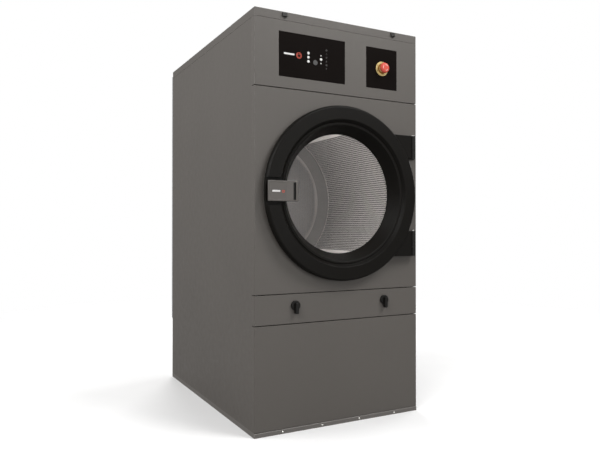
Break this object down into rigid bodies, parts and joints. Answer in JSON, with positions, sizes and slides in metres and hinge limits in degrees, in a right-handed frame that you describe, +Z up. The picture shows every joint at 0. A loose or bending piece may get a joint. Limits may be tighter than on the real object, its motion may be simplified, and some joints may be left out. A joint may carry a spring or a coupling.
{
  "type": "clothes dryer",
  "caption": "Free-standing front-loading tumble dryer with a round glass door, a drum, an electric heater, a fan and a lint drawer",
  "frame": {"origin": "middle of the bottom of the whole machine's bounding box, on the floor", "axes": "+Z up, -Y towards the front with the door, +X to the right seen from the front"},
  "size_m": [0.795, 1.238, 1.686],
  "materials": {
    "casing_paint": "fine satin powder coat",
    "base_paint": "satin paint",
    "galvanised": "galvanised sheet",
    "drum_steel": "pressed and perforated sheet",
    "machined_steel": "turned",
    "screw_steel": "zinc plated",
    "cast_aluminium": "as cast",
    "door_plastic": "fine satin grain",
    "black_panel": "gloss film",
    "black_plastic": "matt",
    "handle_grey": "satin",
    "key_white": "satin",
    "key_grey": "satin",
    "stop_red": "gloss",
    "stop_yellow": "satin",
    "clear_glass": "clear",
    "seal_rubber": "matt",
    "board_plastic": "solder mask"
  },
  "bodies": {
    "cabinet": {"base_frame": "base_paint", "frame_posts": "galvanised", "side_panel_left": "casing_paint", "side_panel_right": "casing_paint", "top_cover": "casing_paint", "top_cover_clips": "black_plastic", "control_fascia": "casing_paint", "door_panel": "casing_paint", "lower_panel": "casing_paint", "rear_panel": "galvanised", "rear_cover": "galvanised", "panel_screws": "screw_steel", "exhaust_spigot": "galvanised", "cable_gland": "black_plastic", "display_panel": "black_panel", "status_leds": "key_white", "estop_plate": "black_panel", "estop_collar": "stop_yellow", "electrical_tray": "galvanised", "control_board": "board_plastic", "motor_inverter": "black_plastic", "hinge_brackets": "black_plastic", "hinge_pins": "machined_steel", "door_magnet": "black_plastic", "drum_bearings": "machined_steel", "rear_bulkhead": "galvanised", "drum_belt": "seal_rubber", "drive_motor": "cast_aluminium", "heater_box": "galvanised", "heater_elements": "machined_steel", "air_box": "galvanised", "blower_housing": "galvanised", "fan_motor": "cast_aluminium"},
    "door": {"door_ring": "door_plastic", "door_back_ring": "machined_steel", "door_glass": "clear_glass", "glass_clamp_ring": "black_plastic", "door_seal": "seal_rubber", "door_handle": "handle_grey", "door_knuckles": "black_plastic"},
    "drum": {"drum_shell": "drum_steel", "drum_back": "drum_steel", "drum_lifters": "drum_steel", "drum_shaft": "machined_steel", "drum_pulley": "cast_aluminium"},
    "motor_rotor": {"motor_pulley": "machined_steel"},
    "fan_wheel": {"blower_impeller": "galvanised"},
    "stop_stem": {"estop_stem": "black_plastic"},
    "stop_cap": {"estop_cap": "stop_red"},
    "key_top": {"program_key_top": "key_white"},
    "key_middle": {"program_key_middle": "key_white"},
    "key_bottom": {"program_key_bottom": "key_white"},
    "key_select": {"select_key": "key_grey"},
    "key_start": {"start_key": "key_white"},
    "lint_drawer": {"filter_front": "casing_paint", "filter_tray": "galvanised", "lint_screen": "machined_steel"},
    "lock_left": {"lock_knob_left": "black_plastic"},
    "lock_right": {"lock_knob_right": "black_plastic"},
    "damper": {"exhaust_damper": "galvanised"}
  },
  "joints": [
    {"name": "door_swing", "type": "hinge", "parent": "cabinet", "child": "door", "pos_m": [0.361, -0.588, 0.964], "axis": [0, 0, 1], "range_deg": [0, 160]},
    {"name": "drum_spin", "type": "hinge", "parent": "cabinet", "child": "drum", "pos_m": [0, 0.233, 0.964], "axis": [0, 1, 0], "continuous": true},
    {"name": "motor_spin", "type": "hinge", "parent": "cabinet", "child": "motor_rotor", "pos_m": [0.17, 0.333, 0.56], "axis": [0, 1, 0], "continuous": true},
    {"name": "fan_spin", "type": "hinge", "parent": "cabinet", "child": "fan_wheel", "pos_m": [0, 0.385, 0.27], "axis": [1, 0, 0], "continuous": true},
    {"name": "stop_push", "type": "slide", "parent": "cabinet", "child": "stop_stem", "axis": [0, 1, 0], "range_m": [0, 0.006], "stiffness_N_per_m": 1500},
    {"name": "stop_twist", "type": "hinge", "parent": "stop_stem", "child": "stop_cap", "pos_m": [0.208, -0.587, 1.515], "axis": [0, 1, 0], "range_deg": [0, 45], "stiffness_Nm_per_rad": 0.05},
    {"name": "key_top_press", "type": "slide", "parent": "cabinet", "child": "key_top", "axis": [0, 1, 0], "range_m": [0, 0.0015], "stiffness_N_per_m": 600},
    {"name": "key_middle_press", "type": "slide", "parent": "cabinet", "child": "key_middle", "axis": [0, 1, 0], "range_m": [0, 0.0015], "stiffness_N_per_m": 600},
    {"name": "key_bottom_press", "type": "slide", "parent": "cabinet", "child": "key_bottom", "axis": [0, 1, 0], "range_m": [0, 0.0015], "stiffness_N_per_m": 600},
    {"name": "key_select_press", "type": "slide", "parent": "cabinet", "child": "key_select", "axis": [0, 1, 0], "range_m": [0, 0.0015], "stiffness_N_per_m": 600},
    {"name": "key_start_press", "type": "slide", "parent": "cabinet", "child": "key_start", "axis": [0, 1, 0], "range_m": [0, 0.0015], "stiffness_N_per_m": 600},
    {"name": "lint_drawer_slide", "type": "slide", "parent": "cabinet", "child": "lint_drawer", "axis": [0, -1, 0], "range_m": [0, 0.4]},
    {"name": "lock_left_turn", "type": "hinge", "parent": "lint_drawer", "child": "lock_left", "pos_m": [-0.218, -0.567, 0.508], "axis": [0, -1, 0], "range_deg": [0, 90]},
    {"name": "lock_right_turn", "type": "hinge", "parent": "lint_drawer", "child": "lock_right", "pos_m": [0.218, -0.567, 0.508], "axis": [0, 1, 0], "range_deg": [0, 90]},
    {"name": "damper_swing", "type": "hinge", "parent": "cabinet", "child": "damper", "pos_m": [0, 0.565, 0.2375], "axis": [1, 0, 0], "range_deg": [0, 75]}
  ],
  "couplings": [
    {"joint": "motor_spin", "follows": "drum_spin", "ratio": 12.083}
  ]
}
